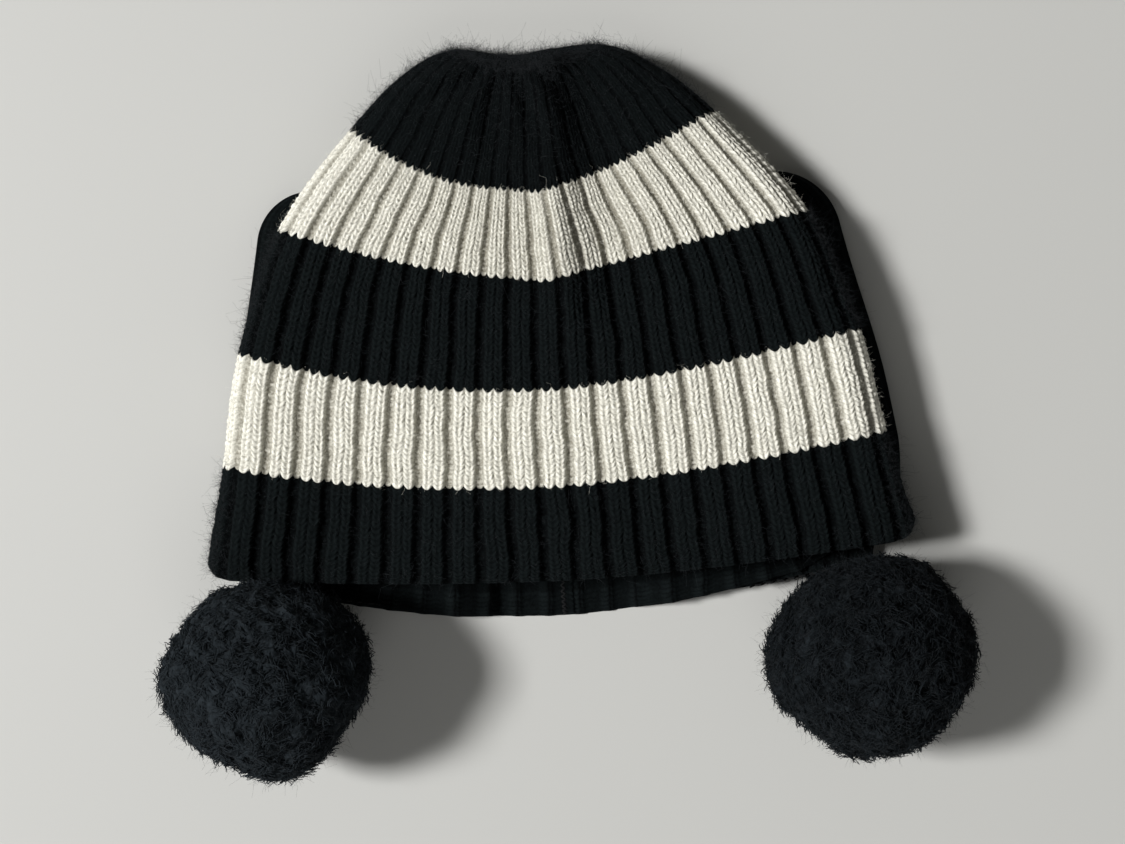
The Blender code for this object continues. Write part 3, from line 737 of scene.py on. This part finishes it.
def build_pompom(side):
    """The core, the cut yarn, the finest fibres, the tie in the middle, and the thread to the strap."""
    prefix, seed = PREFIX[side], POMPOM_SEED[side]
    pompom_core(side, seed)
    for part in range(PILE_PARTS):
        pompom_yarn(side, seed, part)
    centre = np.array(POMPOMS[side])
    ways = random_ways(POMPOM_HAIRS, seed + 60)
    long = 1.6 + 3.4 * scatter(np.arange(POMPOM_HAIRS), seed + 62) ** 3
    roots = centre + ways * (ball_radius(ways, seed, side) - 0.8)[:, None]
    lean = unit(ways + 0.9 * random_ways(POMPOM_HAIRS, seed + 64))
    data = hair_mesh(prefix + "pompom_fibres", hair_paths(roots, lean, long, seed + 66), 0.04, 1.2)
    add_piece(prefix + "pompom_fibres", data, HAIR, prefix + "pompom")
    away = unit(strap_point(side, NECK_FOOT, NECK_SHIFT, 0.0) - centre)
    tie = wound(centre + away, away, 3.4, 0.5, 3)
    add_thread(prefix + "pompom_tie_thread", tie, 0.5, prefix + "pompom", prefix + "pompom_centre_tie")
    sewn = [centre - away, centre + away * (POMPOM_RADIUS - NECK_BURIED)]
    add_thread(prefix + "pompom_sewn_thread", sewn, 0.6, prefix + "pompom", prefix + "pompom_sewing_thread")


# ---------------------------------------------------------------- fibres and threads of the hat

def hat_fibres(name, found, at_edge, reach, radius, material, seed):
    """Fine wool hairs that stand off the knit, one in two of them along its outline if at_edge."""
    points, outward, rim = (np.concatenate([each[i] for each in found]) for i in range(3))
    k = np.arange(HAT_HAIRS)
    chosen = (scatter(k, seed) * len(points)).astype(int)
    if at_edge:
        at_rim = np.flatnonzero(rim)
        chosen = np.where(k % 2 == 0, at_rim[(scatter(k, seed + 1) * len(at_rim)).astype(int)], chosen)
    root, facing = points[chosen], outward[chosen]
    ways = unit(0.35 * facing + random_ways(HAT_HAIRS, seed + 2))
    ways = ways + facing * np.maximum(0.15 - (ways * facing).sum(1), 0.0)[:, None]
    long = reach * (0.4 + 0.8 * scatter(k, seed + 4) ** 2 + 1.6 * scatter(k, seed + 5) ** 14)
    data = hair_mesh(name, hair_paths(root - facing * 0.2, ways, long, seed + 6), radius, 1.0)
    add_piece(name, data, material, "hat")


def hat_threads():
    """The gathering thread at the crown, and the seam ridge inside the back."""
    turn = np.linspace(0.0, 2.0 * GATHER_TURNS * math.pi, 25 * GATHER_TURNS)
    reach = GATHER_REACH * (1.0 - turn / turn[-1])
    coil = np.stack((GATHER[0] + reach * np.cos(turn), GATHER[1] + 0.2 * np.sin(3.0 * turn),
                     GATHER[2] + reach * np.sin(turn)), -1)
    add_thread("crown_gather_cord", coil, GATHER_CORD, "hat", "crown_gather_thread")
    v = np.linspace(0.04, 5.0, 180)
    base = hat_surface(np.full(len(v), 1.5), v)
    base[:, 2] += 2.0 * RIB_RISE + WALL + 0.9
    base[:, 0] += 0.7 * np.where(np.arange(len(v)) % 2, 1.0, -1.0)
    add_thread("back_seam_thread", base, 0.45, "hat", "back_seam")


# ---------------------------------------------------------------- materials

def node(tree, kind, **settings):
    """A new node with its settings."""
    made = tree.nodes.new(kind)
    for key, value in settings.items():
        setattr(made, key, value)
    return made


def weigh(tree, source, weight, base):
    """source times weight, added to base."""
    made = node(tree, "ShaderNodeMath", operation="MULTIPLY_ADD")
    made.inputs[1].default_value = weight
    tree.links.new(source, made.inputs[0])
    tree.links.new(base, made.inputs[2])
    return made.outputs[0]


def wool(name, dark, light, ramp, roughness, shine, sheen, sheen_tint):
    """Wool yarn: painted shade in the gaps between stitches and in the ribs' sunken columns, mottled from
    stitch to stitch, with a fine hairy bump and a soft sheen. ramp says which shades take the dark and the
    light colour."""
    made = bpy.data.materials.new(name)
    made.use_nodes = True
    tree = made.node_tree
    shader = tree.nodes["Principled BSDF"]
    shader.inputs["Specular IOR Level"].default_value = shine
    shader.inputs["Sheen Weight"].default_value = sheen
    shader.inputs["Sheen Roughness"].default_value = 0.6
    shader.inputs["Sheen Tint"].default_value = (*sheen_tint, 1.0)
    place = node(tree, "ShaderNodeTexCoord").outputs["Object"]
    textures = []
    for scale, detail in ((1500.0, 2.0), (45.0, 2.0)):
        texture = node(tree, "ShaderNodeTexNoise")
        texture.inputs["Scale"].default_value = scale
        texture.inputs["Detail"].default_value = detail
        tree.links.new(place, texture.inputs["Vector"])
        textures.append(texture.outputs["Fac"])
    fibre, cloud = textures
    # painted shade: the yarn attribute darkens the gaps between stitches and the hollows of the pompoms, and
    # the rise attribute darkens the ribs' sunken columns
    painted_gap_shade = node(tree, "ShaderNodeAttribute", attribute_name="yarn").outputs["Fac"]
    odd = node(tree, "ShaderNodeAttribute", attribute_name="odd").outputs["Fac"]
    rise = node(tree, "ShaderNodeAttribute", attribute_name="rise").outputs["Fac"]
    shade = weigh(tree, rise, 0.20, weigh(tree, odd, 0.08, painted_gap_shade))
    shade = weigh(tree, cloud, 0.25, weigh(tree, fibre, 1.7, shade))
    colour = node(tree, "ShaderNodeMapRange", data_type="FLOAT_VECTOR")
    colour.inputs[7].default_value = (ramp[0],) * 3
    colour.inputs[8].default_value = (ramp[1],) * 3
    colour.inputs[9].default_value = dark
    colour.inputs[10].default_value = light
    tree.links.new(shade, colour.inputs[6])
    tree.links.new(colour.outputs[1], shader.inputs["Base Color"])
    rough = node(tree, "ShaderNodeMapRange")
    rough.inputs["To Min"].default_value = roughness
    rough.inputs["To Max"].default_value = 1.0
    tree.links.new(fibre, rough.inputs["Value"])
    tree.links.new(rough.outputs[0], shader.inputs["Roughness"])
    bump = node(tree, "ShaderNodeBump")
    bump.inputs["Strength"].default_value = 0.6
    bump.inputs["Distance"].default_value = 0.00025
    tree.links.new(fibre, bump.inputs["Height"])
    tree.links.new(bump.outputs["Normal"], shader.inputs["Normal"])
    return made


BLACK = wool("black_wool", (0.0004, 0.0005, 0.0006), (0.0062, 0.0086, 0.0090), (0.7, 2.3), 0.9, 0.03, 0.01,
             (0.8, 0.9, 1.0))
WHITE = wool("white_wool", (0.24, 0.225, 0.18), (0.90, 0.88, 0.785), (0.7, 2.2), 0.85, 0.2, 0.15,
             (1.0, 0.98, 0.92))
PILE = wool("pompom_yarn", (0.0020, 0.0026, 0.0030), (0.0185, 0.0232, 0.0270), (0.7, 2.1), 0.9, 0.03, 0.02,
            (0.8, 0.9, 1.0))
HAIR = wool("loose_black_fibre", (0.008, 0.009, 0.010), (0.030, 0.034, 0.037), (0.7, 2.1), 0.8, 0.1, 0.0,
            (0.8, 0.9, 1.0))
THREAD = wool("black_thread", (0.0004, 0.0005, 0.0006), (0.0040, 0.0045, 0.0050), (0.6, 2.1), 0.6, 0.2, 0.0,
              (1.0, 1.0, 1.0))


# ---------------------------------------------------------------- the studio

def plain_floor():
    """The pale surface that the hat lies on."""
    bpy.ops.mesh.primitive_plane_add(size=6.0, location=(0.0, 0.0, 0.0))
    floor = bpy.context.object
    floor.name = "floor"
    made = bpy.data.materials.new("pale_floor")
    made.use_nodes = True
    shader = made.node_tree.nodes["Principled BSDF"]
    shader.inputs["Base Color"].default_value = (0.545, 0.543, 0.520, 1.0)
    shader.inputs["Roughness"].default_value = 0.6
    floor.data.materials.append(made)


def area_light(name, size, energy, place):
    """A square light, in metres and watts, that faces the hat."""
    lamp = bpy.data.lights.new(name, "AREA")
    lamp.size = size
    lamp.energy = energy
    light = bpy.data.objects.new(name, lamp)
    light.location = place
    light.rotation_euler = (-Vector(place)).to_track_quat("-Z", "Y").to_euler()
    bpy.context.scene.collection.objects.link(light)


def camera_and_lights():
    """The photo's view from straight above, window light from the left, and a dim room."""
    scene = bpy.context.scene
    height, seen, sensor = 0.66, 0.409, 36.0  # the camera's height, the width it sees, and its sensor in mm
    data = bpy.data.cameras.new("camera")
    data.sensor_width = sensor
    data.lens = sensor * height / seen
    camera = bpy.data.objects.new("camera", data)
    camera.location = (0.0021, -0.0054, height)
    camera.rotation_euler = (0.0, 0.0, math.radians(-2.7))
    scene.collection.objects.link(camera)
    scene.camera = camera
    scene.view_settings.view_transform = "Standard"
    area_light("window", 0.85, 280.0, (-3.3, 0.36, 3.5))
    area_light("room_side", 2.4, 23.0, (-0.2, -2.6, 2.0))
    world = bpy.data.worlds.new("room")
    world.use_nodes = True
    background = world.node_tree.nodes["Background"]
    background.inputs["Color"].default_value = (1.0, 1.0, 0.95, 1.0)
    background.inputs["Strength"].default_value = 0.075
    scene.world = world


camera_and_lights()
plain_floor()
knitted = [knit_stripe(stripe) for stripe in STRIPES]
white, black = ([found for found, stripe in zip(knitted, STRIPES) if stripe[-1] == is_black]
                for is_black in (False, True))
for i, part in enumerate("abc"):
    hat_fibres("white_fibres_" + part, white, False, 1.7, 0.035, WHITE, 70 + 100 * i)
    hat_fibres("black_fibres_" + part, black, True, 3.2, 0.04, HAIR, 90 + 100 * i)
hat_threads()
for side in (LEFT, RIGHT):
    build_strap(side)
    build_pompom(side)
